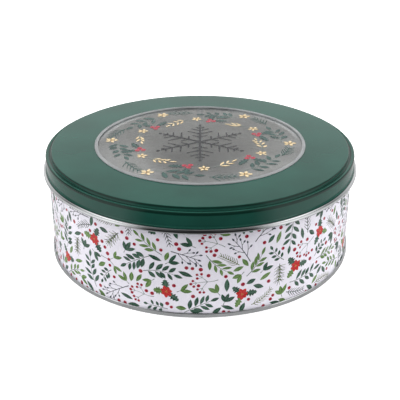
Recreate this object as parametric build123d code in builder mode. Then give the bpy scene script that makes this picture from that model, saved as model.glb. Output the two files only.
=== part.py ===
from build123d import *
from math import cos, pi
import os

os.makedirs("parts", exist_ok=True)

# A round tinplate tin with a lift-off lid and a clear round window, in millimetres, +Z up.
# The origin is the centre of the ring that the tin stands on.

# Sheet materials
sheet = 0.3  # tinplate of every metal piece
pane_thickness = 0.3  # clear sheet of the window

# Body wall: a rolled strip with a folded side seam, rolled inwards at the mouth
wall_diameter = 200.0  # outside of the printed wall
mouth_height = 67.4  # table to the top of the rolled mouth
mouth_roll = 2.2  # across the roll at the mouth
lap_width = 5.0  # side seam, folded flat against the inside at the back
lap_layers = 3  # sheets of the side seam that stand inside the wall

# Double seam that joins the base to the wall
seam_height = 3.0  # table to the top of the seam
seam_gap = 0.15  # air between two folded layers
base_recess = 3.6  # table to the underside of the base
base_rise = 0.8  # step up to the middle of the base
base_rim = 9.0  # flat ring between the seam and that step
base_slope = 1.2  # radial run of that step

# Lid: a drawn shell with a stacking step, a skirt and an outward roll
lid_depth = 12.3  # top of the ledge to the bottom of the roll
lid_clearance = 0.6  # radial air between the wall and the skirt
lid_rest_gap = 0.3  # air between the mouth and the ledge
lid_roll = 2.4  # across the roll at the bottom of the skirt
shoulder = 1.2  # bend from the ledge into the skirt
step_height = 2.0  # ledge to the raised top
step_slope = 0.6  # radial run of that step
ledge_width = 2.0  # flat ring outside that step

# Window in the lid, held by a flat ring bonded under the pane
window_diameter = 134.4  # clear opening, inside its rolled edge
window_roll = 1.4  # across the roll round the opening
pane_overlap = 6.0  # pane beyond the opening, all round
ring_setback = 0.5  # opening to the inner edge of the ring
ring_margin = 1.0  # ring beyond the pane, all round

# Rolled edges are closed, so each is drawn as a solid bead with a few flats
roll_sides = 8
mouth_roll_sides = 6

# Radii of the middle of each sheet
wall_mid = wall_diameter / 2 - sheet / 2
seam_pitch = sheet + seam_gap
chuck_mid = wall_mid - seam_pitch
cover_hook_mid = wall_mid + seam_pitch
body_hook_mid = cover_hook_mid + seam_pitch
seam_wall_mid = body_hook_mid + seam_pitch
skirt_mid = wall_diameter / 2 + lid_clearance + sheet / 2

# Heights of the middle of each sheet
seam_floor = sheet / 2
seam_roof = seam_height - sheet / 2
body_turn = seam_floor + seam_pitch
base_low = base_recess + sheet / 2
ledge_mid = mouth_height + lid_rest_gap + sheet / 2
top_mid = ledge_mid + step_height


def bead(radius, height, across, sides):
    """Section of a rolled edge, with an upright flat inside and outside."""
    with Locations((radius, height)):
        RegularPolygon(across / 2, sides, major_radius=False, rotation=180 / sides)


# Body wall: hooked outwards and up in the seam, rolled inwards at the mouth
mouth_roll_mid = wall_diameter / 2 - mouth_roll / 2
mouth_roll_height = mouth_height - mouth_roll / 2 / cos(pi / mouth_roll_sides)
lap_inner = wall_mid - sheet / 2 - lap_layers * sheet
lap_bottom = base_low + sheet

with BuildPart() as body_wall:
    with BuildSketch(Plane.XZ):
        with BuildLine():
            Polyline(
                (body_hook_mid, seam_roof - seam_pitch),
                (body_hook_mid, body_turn),
                (wall_mid, body_turn),
                (wall_mid, mouth_roll_height),
            )
        trace(line_width=sheet)
        bead(mouth_roll_mid, mouth_roll_height, mouth_roll, mouth_roll_sides)
    revolve(axis=Axis.Z)
    with BuildSketch(Plane.XY.offset(lap_bottom)):
        Circle(wall_mid)
        Circle(lap_inner, mode=Mode.SUBTRACT)
        with Locations((0, wall_diameter / 2)):
            Rectangle(lap_width, wall_diameter / 2, mode=Mode.INTERSECT)
    extrude(amount=mouth_roll_height - lap_bottom)

# Base: a stepped disc whose rim wraps the wall's hook, so that five layers lie in the seam
base_step_outer = chuck_mid - base_rim

with BuildPart() as base_panel:
    with BuildSketch(Plane.XZ):
        with BuildLine():
            Polyline(
                (0, base_low + base_rise),
                (base_step_outer - base_slope, base_low + base_rise),
                (base_step_outer, base_low),
                (chuck_mid, base_low),
                (chuck_mid, seam_floor),
                (seam_wall_mid, seam_floor),
                (seam_wall_mid, seam_roof),
                (cover_hook_mid, seam_roof),
                (cover_hook_mid, body_turn + seam_pitch),
            )
        trace(line_width=sheet)
    revolve(axis=Axis.Z)

# Lid: rolled up round the window, rolled outwards at the bottom of the skirt
lid_underside = top_mid - sheet / 2
window_roll_mid = window_diameter / 2 + window_roll / 2
ledge_outer = skirt_mid - shoulder
ledge_inner = ledge_outer - ledge_width
lid_roll_mid = skirt_mid - sheet / 2 + lid_roll / 2
lid_roll_height = ledge_mid + sheet / 2 - lid_depth + lid_roll / 2

with BuildPart() as lid_shell:
    with BuildSketch(Plane.XZ):
        with BuildLine():
            Polyline(
                (window_roll_mid, top_mid),
                (ledge_inner - step_slope, top_mid),
                (ledge_inner, ledge_mid),
                (ledge_outer, ledge_mid),
                (skirt_mid, ledge_mid - shoulder),
                (skirt_mid, lid_roll_height),
            )
        trace(line_width=sheet)
        bead(window_roll_mid, lid_underside + window_roll / 2, window_roll, roll_sides)
        bead(lid_roll_mid, lid_roll_height, lid_roll, roll_sides)
    revolve(axis=Axis.Z)

# Window pane: a clear disc against the underside of the lid
pane_radius = window_diameter / 2 + pane_overlap
pane_bottom = lid_underside - pane_thickness

with BuildPart() as window_pane:
    with BuildSketch(Plane.XY.offset(pane_bottom)):
        Circle(pane_radius)
    extrude(amount=pane_thickness)

# Retaining ring: a flat ring that holds the rim of the pane from below
with BuildPart() as window_ring:
    with BuildSketch(Plane.XY.offset(pane_bottom - sheet)):
        Circle(pane_radius + ring_margin)
        Circle(window_diameter / 2 + ring_setback, mode=Mode.SUBTRACT)
    extrude(amount=sheet)

body_wall.part.label = "body_wall"
base_panel.part.label = "base_panel"
lid_shell.part.label = "lid_shell"
window_pane.part.label = "window_pane"
window_ring.part.label = "window_ring"

for piece in (body_wall, base_panel, lid_shell, window_pane, window_ring):
    export_step(piece.part, f"parts/{piece.part.label}.step")
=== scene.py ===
"""Dresses a round window lid tin: a printed body, a green enamelled lid and a clear printed window.

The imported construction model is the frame. All of it is in metres, +Z up, and the origin is the
centre of the ring that the tin stands on. Sizes are written in millimetres and turned into metres
where a mesh or a material is made.
"""

import sys

import logging
import math
import random
from collections.abc import Callable
from dataclasses import dataclass, field, replace
from enum import Enum
from functools import partial

import bmesh
import bpy
import numpy as np
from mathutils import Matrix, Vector


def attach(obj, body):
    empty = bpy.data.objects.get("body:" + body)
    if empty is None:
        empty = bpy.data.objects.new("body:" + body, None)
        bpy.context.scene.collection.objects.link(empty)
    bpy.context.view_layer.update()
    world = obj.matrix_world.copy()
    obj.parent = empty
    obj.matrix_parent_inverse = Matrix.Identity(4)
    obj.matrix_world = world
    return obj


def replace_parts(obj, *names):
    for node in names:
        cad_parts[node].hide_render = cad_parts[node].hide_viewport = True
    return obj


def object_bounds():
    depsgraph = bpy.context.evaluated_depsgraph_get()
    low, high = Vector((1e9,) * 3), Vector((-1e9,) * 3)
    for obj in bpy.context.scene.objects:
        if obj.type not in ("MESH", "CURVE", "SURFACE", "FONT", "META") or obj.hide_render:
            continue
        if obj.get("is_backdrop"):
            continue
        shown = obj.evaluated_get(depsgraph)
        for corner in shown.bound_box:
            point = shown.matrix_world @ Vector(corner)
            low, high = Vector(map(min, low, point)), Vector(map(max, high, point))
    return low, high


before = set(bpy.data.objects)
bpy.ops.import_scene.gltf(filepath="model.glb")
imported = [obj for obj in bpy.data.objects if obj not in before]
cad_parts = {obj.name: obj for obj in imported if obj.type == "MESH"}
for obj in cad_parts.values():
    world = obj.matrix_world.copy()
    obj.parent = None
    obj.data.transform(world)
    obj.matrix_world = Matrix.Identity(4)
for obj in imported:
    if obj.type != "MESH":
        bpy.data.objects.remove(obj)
cad_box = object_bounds()

MM = 0.001
SUNK = 0.01  # how far stamped ink reaches into what it lies on, in millimetres
DOT_SIDES = 10
ROUND_SIDES = 360  # sides of a piece that goes once round the axis
LINE_STEP = 1.2  # from one point of a drawn line to the next, in millimetres
FILM_STEP = 0.001  # how much higher each stamp lies than the one before, in millimetres
FILM_STEPS = 8
FULL_BEND = math.radians(12)  # turn at one point of a section that counts as fully bent
SHARP_EDGE = math.radians(32)
PATH_RADIUS = 0.1  # of the ring that a section is swept round; the shape doesn't depend on it
SAME_POINT = 1e-6  # points nearer to each other than this become one, in metres
BACK_SIDE = 0.4  # above this share, a face is on the back of its sheet
log = logging.getLogger("window_lid_tin")

# Node types that most trees use
NOISE = "ShaderNodeTexNoise"
RANGE = "ShaderNodeMapRange"
MATH = "ShaderNodeMath"
MIX = "ShaderNodeMix"
VECTOR = "ShaderNodeVectorMath"
SPLIT = "ShaderNodeSeparateXYZ"
JOIN = "ShaderNodeCombineXYZ"
BUMP = "ShaderNodeBump"

Point = tuple[float, float]  # also a pair of sizes, or the two ends of a range
Socket = bpy.types.NodeSocket
Tree = bpy.types.NodeTree
Fade = tuple[Socket, float, float, float, float]  # what it follows, from, to, and its strength at both


# Helpers for node trees and colours


def linear(colour: str) -> tuple[float, float, float, float]:
    """Turns an sRGB hex colour into linear light.

    Args:
        colour: six hex digits.

    Returns:
        Linear red, green and blue, and an alpha of 1.
    """
    parts = [int(colour[i : i + 2], 16) / 255 for i in (0, 2, 4)]
    return (*[p / 12.92 if p <= 0.04045 else ((p + 0.055) / 1.055) ** 2.4 for p in parts], 1.0)


def feed(tree: Tree, node: bpy.types.Node, inputs: dict[str | int, object]) -> None:
    """Gives a node's inputs their values and links.

    Args:
        tree: the node's tree.
        node: the node.
        inputs: a value or an output socket for each input, by name or place.
    """
    for key, value in inputs.items():
        if isinstance(value, Socket):
            tree.links.new(value, node.inputs[key])
        else:
            node.inputs[key].default_value = value


def put(tree: Tree, kind: str, *values: object, out: str | int = 0, **settings: object) -> Socket | None:
    """Adds one node to a tree, with its settings and links.

    Args:
        tree: the shader or geometry tree that gets the node.
        kind: the node's type name.
        values: a value or an output socket for each input that the settings leave in use, in the
            node's own order. None leaves an input as it is.
        out: name of the output that is wanted, or its place among those in use.
        settings: attributes of the node itself.

    Returns:
        That output, which knows its node, or None where the node has no output.
    """
    made = tree.nodes.new(kind)
    for name, value in settings.items():
        setattr(made, name, value)
    used = [place for place, socket in enumerate(made.inputs) if socket.enabled]
    feed(tree, made, {place: value for place, value in zip(used, values) if value is not None})
    outputs = made.outputs if isinstance(out, str) else [socket for socket in made.outputs if socket.enabled]
    return outputs[out] if outputs else None


def per_metre(patch: float) -> float:
    """Turns the size of a pattern's patches, in millimetres, into the scale that its node takes."""
    return 1 / (patch * MM)


def start_material(name: str) -> tuple[bpy.types.Material, Tree, bpy.types.Node]:
    """Makes an empty material.

    Args:
        name: the finish's name.

    Returns:
        The material, its tree and its Principled node.
    """
    material = bpy.data.materials.new(name)
    material.use_nodes = True
    tree = material.node_tree
    return material, tree, tree.nodes["Principled BSDF"]


def round_axis(tree: Tree, place: Socket) -> tuple[Socket, bpy.types.NodeOutputs]:
    """Works out how far a place lies from the tin's axis.

    Args:
        tree: the shader tree.
        place: the place, or a direction.

    Returns:
        The distance from the axis, and the place's own X, Y and Z.
    """
    spot = put(tree, SPLIT, place).node.outputs
    level = put(tree, JOIN, spot["X"], spot["Y"])
    return put(tree, VECTOR, level, operation="LENGTH"), spot


def layered(tree: Tree, *layers: list[Fade]) -> Socket:
    """Adds up the layers of a soft pattern, each of which is the product of its fades.

    Args:
        tree: the shader tree.
        layers: the fades of each layer.

    Returns:
        How strong the pattern is.
    """
    total = None
    for fades in layers:
        layer = None
        for fade in fades:
            level = put(tree, RANGE, *fade)
            layer = level if layer is None else put(tree, MATH, layer, level, operation="MULTIPLY")
        total = layer if total is None else put(tree, MATH, total, layer, operation="ADD")
    return total


# Finishes


@dataclass(frozen=True)
class StovedEnamel:
    """Green alkyd enamel, roller coated on tinplate and stoved.

    It is glossy with a faint orange peel. Dark lines of painted shade are drawn along the bends of
    the step and the shoulder, and it is a little lighter and duller where the bends are rubbed.
    """

    colour: str = "1E4F44"
    deep: str = "1A463C"
    rubbed: str = "2F6152"
    # painted shade: a near-black green drawn as dark lines along the bends of the step and shoulder
    painted_bend_shade: str = "0A2A22"
    bend_shade_stops: tuple[Point, ...] = (  # radius from the axis, and the share of the painted bend shade there
        (96.8, 0),
        (97.0, 1),
        (97.3, 1),
        (97.45, 0.2),
        (97.6, 0.2),
        (97.75, 1),
        (98.5, 1),
        (98.9, 0),
        (100.2, 0),
        (100.45, 1),
    )
    bend_shade_spare: float = 0.1  # beyond the last of them
    bend_shade_low: float = 66.2  # height below which no bend shade is painted
    bend_shade_fade: float = 0.5
    cloud_mm: float = 38.0
    rub_mm: float = 0.9
    rub_strength: float = 0.3
    smudge_mm: float = 11.0
    roughness: Point = (0.08, 0.15)
    rub_roughness: float = 0.1
    peel_mm: float = 1.3
    peel_depth: float = 0.005
    peel_strength: float = 0.25
    ior: float = 1.5
    specular: float = 0.27

    def material(self) -> bpy.types.Material:
        """Builds the finish.

        Returns:
            The material.
        """
        material, tree, shader = start_material("green_stoved_enamel")
        add = partial(put, tree)
        place = add("ShaderNodeTexCoord", out="Object")
        cloud = add(RANGE, add(NOISE, place, per_metre(self.cloud_mm), 3), 0.35, 0.65, 0, 1)
        coat = add(MIX, cloud, linear(self.colour), linear(self.deep), data_type="RGBA")
        bend = add("ShaderNodeAttribute", out="Fac", attribute_name="bend")
        rub = add(RANGE, add(NOISE, place, per_metre(self.rub_mm), 4), 0.45, 0.7, 0, self.rub_strength)
        wear = add(MATH, bend, rub, operation="MULTIPLY")
        worn = add(MIX, wear, coat, linear(self.rubbed), data_type="RGBA")
        # painted shade: the dark bend lines are laid over the enamel's own colour
        colour = add(MIX, self.painted_bend_shading(tree, place), worn, linear(self.painted_bend_shade), data_type="RGBA")
        smudge = add(RANGE, add(NOISE, place, per_metre(self.smudge_mm), 5), 0.3, 0.75, *self.roughness)
        dulled = add(MATH, wear, self.rub_roughness, operation="MULTIPLY")
        peel = add(NOISE, place, per_metre(self.peel_mm), 2)
        finish = {
            "Base Color": colour,
            "Roughness": add(MATH, smudge, dulled, operation="ADD"),
            "IOR": self.ior,
            "Specular IOR Level": self.specular,
            "Normal": add(BUMP, self.peel_strength, self.peel_depth * MM, None, peel),
        }
        feed(tree, shader, finish)
        return material

    def painted_bend_shading(self, tree: Tree, place: Socket) -> Socket:
        """Works out where painted shade lies along the bends.

        Args:
            tree: the finish's tree.
            place: the place on the lid.

        Returns:
            The share of the painted shade colour.
        """
        radius, spot = round_axis(tree, place)
        first, last = self.bend_shade_stops[0][0], self.bend_shade_stops[-1][0] + self.bend_shade_spare
        along = put(tree, RANGE, radius, first * MM, last * MM, 0, 1)
        level = put(tree, "ShaderNodeValToRGB", along)
        stops = level.node.color_ramp.elements
        stops.remove(stops[-1])
        for far, share in self.bend_shade_stops:
            stop = stops[0] if far == first else stops.new((far - first) / (last - first))
            stop.color = (share, share, share, 1)
        top = self.bend_shade_low + self.bend_shade_fade
        high = put(tree, RANGE, spot["Z"], self.bend_shade_low * MM, top * MM, 0, 1)
        return put(tree, MATH, level, high, operation="MULTIPLY")


class Grain(Enum):
    """Which way the fine lines run in bare metal."""

    ROLLED = "straight, from rolling the sheet"
    TURNED = "round the axis, from the curling and seaming rolls"


@dataclass(frozen=True)
class BareTinplate:
    """Bright tin on thin steel sheet: a soft mirror with fine drawn lines and faint clouds.

    The lines of the real sheet are too fine to show, so they are drawn as wide as they need to be.
    Metal that was pressed flat near the axis is rougher.
    """

    grain: Grain
    name: str = "bare_tinplate"
    bright: str = "D9DBDC"
    dull: str = "B9BCBE"
    line_mm: float = 0.35
    line_stretch: float = 26.0
    line_share: float = 0.6
    line_depth: float = 0.004
    line_strength: float = 0.3
    cloud_mm: float = 14.0
    cloud_share: float = 0.4
    roughness: Point = (0.2, 0.34)
    pressed_within: float = 0.0  # radius; none is pressed where it is 0
    pressed_fade: float = 2.0
    pressed_more: float = 0.5

    def material(self) -> bpy.types.Material:
        """Builds the finish.

        Returns:
            The material.
        """
        material, tree, shader = start_material(f"{self.name}_{self.grain.name.lower()}")
        add = partial(put, tree)
        place = add("ShaderNodeTexCoord", out="Object")
        if self.grain is Grain.ROLLED:
            along = add("ShaderNodeMapping", place, None, None, (1 / self.line_stretch, 1, 1))
        else:
            radius, spot = round_axis(tree, place)
            along = add(JOIN, radius, None, spot["Z"])
        line = add(NOISE, along, per_metre(self.line_mm), 3)
        cloud = add(NOISE, place, per_metre(self.cloud_mm), 4)
        lines = add(MATH, line, self.line_share, operation="MULTIPLY")
        clouds = add(MATH, cloud, self.cloud_share, operation="MULTIPLY")
        tone = add(MATH, lines, clouds, operation="ADD")
        rough = add(RANGE, tone, 0.35, 0.65, *reversed(self.roughness))
        if self.pressed_within:
            edge = self.pressed_within * MM
            radius, _ = round_axis(tree, place)
            pressed = add(RANGE, radius, edge, edge + self.pressed_fade * MM, self.pressed_more, 0)
            rough = add(MATH, rough, pressed, operation="ADD")
        light = add(RANGE, tone, 0.36, 0.64, 0, 1)
        finish = {
            "Base Color": add(MIX, light, linear(self.dull), linear(self.bright), data_type="RGBA"),
            "Metallic": 1.0,
            "Roughness": rough,
            "Normal": add(BUMP, self.line_strength, self.line_depth * MM, None, line),
        }
        feed(tree, shader, finish)
        return material


class Metal(Enum):
    """The bare sides of the tinplate, by what formed them or where they lie.

    CURLED is the lid's inner side with its rolled edges, FOLDED the side seam, SEAMED the double seam
    and the underside. The last two, the inside of the wall and the upper side of the base, are painted
    light: paler than plain tinplate, to stand in for the light inside the tin.
    """

    CURLED = BareTinplate(Grain.TURNED, roughness=(0.08, 0.16), pressed_within=80.0)
    FOLDED = BareTinplate(Grain.ROLLED)
    SEAMED = BareTinplate(Grain.TURNED, "seamed_tinplate", roughness=(0.18, 0.28))
    # painted light: paler and warmer than plain tinplate, to stand in for the light inside the tin
    LACQUERED = BareTinplate(Grain.TURNED, "lacquered_tinplate", "E9E7E3", "D6D3CE", roughness=(0.2, 0.32))
    # painted light: paler than plain tinplate, to stand in for the light on the base inside the tin
    OILED = BareTinplate(Grain.ROLLED, "oiled_tinplate", "E2E1DE", "CACAC9", roughness=(0.3, 0.42))


@dataclass(frozen=True)
class Varnish:
    """Clear varnish over all the print: glossy, scuffed in patches and gently uneven."""

    scuff_mm: float = 6.0
    wave_mm: float = 1.1
    wave_depth: float = 0.005
    wave_strength: float = 0.3
    specular: float = 0.4

    def inputs(self, tree: Tree, place: Socket, low: float = 0.2, high: float = 0.36) -> dict[str, object]:
        """Works out the varnish's gloss and waves.

        Args:
            tree: the finish's tree.
            place: the place on the print.
            low: roughness where it isn't scuffed.
            high: roughness where it is.

        Returns:
            What the shader's inputs get.
        """
        scuff = put(tree, NOISE, place, per_metre(self.scuff_mm), 6)
        wave = put(tree, NOISE, place, per_metre(self.wave_mm), 2)
        return {
            "Roughness": put(tree, RANGE, scuff, 0.35, 0.75, low, high),
            "Specular IOR Level": self.specular,
            "Normal": put(tree, BUMP, self.wave_strength, self.wave_depth * MM, None, wave),
        }


VARNISH = Varnish()


@dataclass(frozen=True)
class PrintedGround:
    """White base coat with a lilac tint under a clear varnish, as litho printers put on tinplate.

    It is smooth and glossy, faintly mottled by the print screen, and a little scuffed.
    """

    colour: str = "F0EDF6"
    shade: str = "E7E4EE"
    screen_mm: float = 0.55
    screen_share: float = 0.5
    cloud_mm: float = 30.0
    cloud_share: float = 0.5

    def material(self) -> bpy.types.Material:
        """Builds the finish.

        Returns:
            The material.
        """
        material, tree, shader = start_material("varnished_lilac_ground")
        add = partial(put, tree)
        place = add("ShaderNodeTexCoord", out="Object")
        screen = add(NOISE, place, per_metre(self.screen_mm), 1)
        cloud = add(NOISE, place, per_metre(self.cloud_mm), 3)
        dots = add(MATH, screen, self.screen_share, operation="MULTIPLY")
        clouds = add(MATH, cloud, self.cloud_share, operation="MULTIPLY")
        light = add(RANGE, add(MATH, dots, clouds, operation="ADD"), 0.38, 0.62, 0, 1)
        colour = add(MIX, light, linear(self.shade), linear(self.colour), data_type="RGBA")
        feed(tree, shader, {"Base Color": colour, **VARNISH.inputs(tree, place)})
        return material


class InkPattern(Enum):
    """How an ink is drawn inside each of its shapes."""

    VEINED = "a pale vein along the middle, and one half paler"
    ROUND = "a dark eye, a paler rim and a small light"
    PLAIN = "an even tone"


@dataclass(frozen=True)
class PrintInk:
    """One litho printing ink under the varnish: an even tone, a little lighter from shape to shape."""

    name: str
    colour: str
    light: str
    pattern: InkPattern = InkPattern.PLAIN
    film_mm: float = 0.03  # how thick the ink lies
    roughness: float = 0.3
    scuff: float = 0.08  # how much smoother or rougher it is in places
    grain_mm: float = 0.5
    grain: float = 0.08
    shade_share: float = 0.45  # how far a shape's own tone takes it to the light colour

    def material(self) -> bpy.types.Material:
        """Builds the finish.

        Returns:
            The material.
        """
        material, tree, shader = start_material(f"ink_{self.name}")
        add = partial(put, tree)
        place = add("ShaderNodeTexCoord", out="Object")
        shade = add("ShaderNodeAttribute", out="Fac", attribute_name="shade")
        grain = add(RANGE, add(NOISE, place, per_metre(self.grain_mm), 2), 0.3, 0.7, -self.grain, self.grain)
        tone = add(MATH, add(MATH, shade, self.shade_share, operation="MULTIPLY"), grain, operation="ADD")
        if self.pattern is not InkPattern.PLAIN:
            tone = add(MATH, tone, self.drawn(tree), operation="ADD")
        tone = add(RANGE, tone, 0, 1, 0, 1)
        colour = add(MIX, tone, linear(self.colour), linear(self.light), data_type="RGBA")
        low, high = self.roughness - self.scuff, self.roughness + self.scuff
        feed(tree, shader, {"Base Color": colour, **VARNISH.inputs(tree, place, low, high)})
        return material

    def drawn(self, tree: Tree) -> Socket:
        """Works out the pattern inside a shape, from the place on it.

        Args:
            tree: the finish's tree.

        Returns:
            How much lighter or darker the ink is.
        """
        add = partial(put, tree)
        spot = add("ShaderNodeAttribute", out="Vector", attribute_name="spot")
        if self.pattern is InkPattern.VEINED:
            across = add(SPLIT, spot, out="Y")
            vein = add(RANGE, add(MATH, across, operation="ABSOLUTE"), 0.04, 0.12, 0.5, 0)
            return add(MATH, vein, add(RANGE, across, -0.05, 0.05, 0, 0.18), operation="ADD")
        eye = add(VECTOR, spot, (0.06, -0.04, 0), operation="DISTANCE")
        light = add(VECTOR, spot, (-0.2, 0.2, 0), operation="DISTANCE")
        rim = add(RANGE, eye, 0.08, 0.42, -0.3, 0.3)
        return add(MATH, rim, add(RANGE, light, 0.06, 0.15, 0.5, 0), operation="ADD")


class Ink(Enum):
    """The inks of both prints. A thicker film lies over a thinner one."""

    STEM = PrintInk("stem_grey_green", "6E7A74", "8B978F", film_mm=0.02)
    DARK_LEAF = PrintInk("leaf_dark_green", "213F32", "466A56", InkPattern.VEINED)
    LIGHT_LEAF = PrintInk("leaf_light_green", "48692F", "77985A", InkPattern.VEINED)
    TWIG = PrintInk("twig_slate", "363C46", "5C636E", film_mm=0.024)
    NEEDLE = PrintInk("needle_grey_green", "263A31", "465A4E", film_mm=0.024)
    FROND = PrintInk("frond_olive", "646F44", "8E9869", film_mm=0.024)
    BERRY = PrintInk("berry_crimson", "8C1428", "C4455A", InkPattern.ROUND, 0.04)
    BRACT = PrintInk("bract_scarlet", "B3191B", "D23A34", InkPattern.VEINED, 0.036)
    GOLD = PrintInk("gold_cream", "CFB384", "E8D6AE", InkPattern.VEINED, 0.06, 0.35)
    OCHRE = PrintInk("seed_ochre", "A67E3C", "C9A663", film_mm=0.08)
    SAGE = PrintInk("sage_green", "1F3A37", "3C5C56", InkPattern.VEINED)
    GRAPHITE = PrintInk("graphite", "1E2024", "35383D", film_mm=0.024)


@dataclass(frozen=True)
class ClearSheet:
    """Clear PET window sheet: almost all of it is see-through, and it mirrors more at a low angle.

    It is veiled by handling towards its rim, most of all at the front, and cloudy where it is bonded
    under the lid, which shows at the back.
    """

    tint: str = "F2F4F4"
    facing: float = 0.04
    haze_mm: float = 22.0
    haze: float = 0.03
    wave_mm: float = 35.0
    wave_depth: float = 0.05
    wave_strength: float = 0.4
    roughness: Point = (0.04, 0.12)
    veil_mm: float = 26.0
    veiled: Point = (30.0, 62.0)  # radii between which the veil grows
    veil_run: Point = (-30.0, 35.0)  # from front to back
    veil: Point = (0.15, 0.01)
    bonded: Point = (62.8, 66.2)  # radii between which the bond begins to show
    bond_run: Point = (0.0, 35.0)  # from front to back
    bond: float = 0.6

    def material(self) -> bpy.types.Material:
        """Builds the finish.

        Returns:
            The material.
        """
        material, tree, shader = start_material("clear_pet_sheet")
        add = partial(put, tree)
        place = add("ShaderNodeTexCoord", out="Object")
        haze = add(RANGE, add(NOISE, place, per_metre(self.haze_mm), 5), 0.4, 0.75, 0, self.haze)
        low_angle = add(MATH, add("ShaderNodeLayerWeight", 0.5, out="Facing"), 5, operation="POWER")
        mirrored = add(MATH, low_angle, 1 - self.facing, self.facing, operation="MULTIPLY_ADD")
        veiled = add(MATH, mirrored, self.clouding(tree, place), operation="ADD")
        wave = add(NOISE, place, per_metre(self.wave_mm), 1)
        finish = {
            "Base Color": linear(self.tint),
            "Metallic": 1.0,
            "Roughness": add(RANGE, haze, 0, self.haze, *self.roughness),
            "Alpha": add(MATH, veiled, haze, operation="ADD", use_clamp=True),
            "Normal": add(BUMP, self.wave_strength, self.wave_depth * MM, None, wave),
        }
        feed(tree, shader, finish)
        return material

    def clouding(self, tree: Tree, place: Socket) -> Socket:
        """Works out how cloudy the sheet is.

        Args:
            tree: the finish's tree.
            place: the place on the sheet.

        Returns:
            The share that hides what lies below.
        """
        radius, spot = round_axis(tree, place)
        cloud = put(tree, NOISE, place, per_metre(self.veil_mm), 2)
        veiled, veil_run, bonded, bond_run = (
            [end * MM for end in ends] for ends in (self.veiled, self.veil_run, self.bonded, self.bond_run)
        )
        veil = [(radius, *veiled, 0, 1), (spot["Y"], *veil_run, *self.veil), (cloud, 0.35, 0.65, 0.55, 1.2)]
        bond = [(radius, *bonded, 0, self.bond), (spot["Y"], *bond_run, 0, 1)]
        return layered(tree, veil, bond)


# Sections of sheet metal


def arc(centre: Point, radius: float, start: float, end: float, step: float = 15.0) -> list[Point]:
    """Points along an arc.

    Args:
        centre: its centre, as radius from the axis and height.
        radius: its own radius.
        start: first angle in degrees, 0 outwards and 90 up.
        end: last angle.
        step: the largest turn between two points.

    Returns:
        The points, ends included.
    """
    count = max(2, math.ceil(abs(end - start) / step) + 1)
    angles = [math.radians(start + (end - start) * i / (count - 1)) for i in range(count)]
    return [(centre[0] + radius * math.cos(a), centre[1] + radius * math.sin(a)) for a in angles]


def rounded(corners: list[tuple[float, float, float]], guard: float = 0.25) -> list[Point]:
    """An open path whose corners are bends, with points beside each bend that keep the flats flat.

    Args:
        corners: across, up and bend radius of each corner; the two ends have no bend.
        guard: distance from a bend to the extra point on the flat beside it.

    Returns:
        The points of the path.
    """
    spots = [Vector(c[:2]) for c in corners]
    path = [tuple(spots[0])]
    for before, here, after, radius in zip(spots, spots[1:], spots[2:], [c[2] for c in corners[1:]]):
        come, leave = (here - before).normalized(), (after - here).normalized()
        turn = math.acos(max(-1.0, min(1.0, come.dot(leave))))
        reach = radius * math.tan(turn / 2)
        enter = here - come * reach
        side = 1.0 if come.x * leave.y - come.y * leave.x > 0 else -1.0
        middle = enter + Vector((-come.y, come.x)) * side * radius
        run = (enter - Vector(path[-1])).length
        if run > 3 * guard:
            path.append(tuple(Vector(path[-1]) + come * guard))
        if run > 2 * guard:
            path.append(tuple(enter - come * guard))
        first = math.degrees(math.atan2(enter.y - middle.y, enter.x - middle.x))
        path += arc(tuple(middle), radius, first, first + side * math.degrees(turn))
    return [*path, tuple(spots[-1])]


@dataclass
class SheetSection:
    """The section of one formed sheet: a path along its middle, with the sheet's face on its left.

    A section that is on the axis starts there and is left open.
    """

    path: list[Point]
    thickness: float
    on_axis: bool = False

    def outline(self) -> tuple[list[Point], list[float], list[float]]:
        """Works out the section.

        Returns:
            Its points, 1 for each point on the back side and 0 for the face, and how sharply the
            sheet bends at each point, from 0 to 1.
        """
        points = np.array(self.path)
        runs = np.diff(points, axis=0)
        runs /= np.linalg.norm(runs, axis=1)[:, None]
        ways = np.vstack([runs[:1], runs[:-1] + runs[1:], runs[-1:]])
        ways /= np.linalg.norm(ways, axis=1)[:, None]
        turns = np.concatenate([[0.0], np.arccos(np.clip((runs[:-1] * runs[1:]).sum(1), -1, 1)), [0.0]])
        across = np.stack([-ways[:, 1], ways[:, 0]], 1) * self.thickness / 2 / np.cos(turns / 2)[:, None]
        if self.on_axis:
            across[0] = (0, abs(across[0, 1]) * np.sign(across[1, 1]))
        face, back = points + across, (points - across)[::-1]
        bends = np.clip(turns / FULL_BEND, 0, 1)
        sides = [0.0] * len(face) + [1.0] * len(back)
        return [tuple(p) for p in np.vstack([face, back])], sides, [*bends, *bends[::-1]]


# Flat print: shapes, lines and motifs, in millimetres on the sheet


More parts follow.
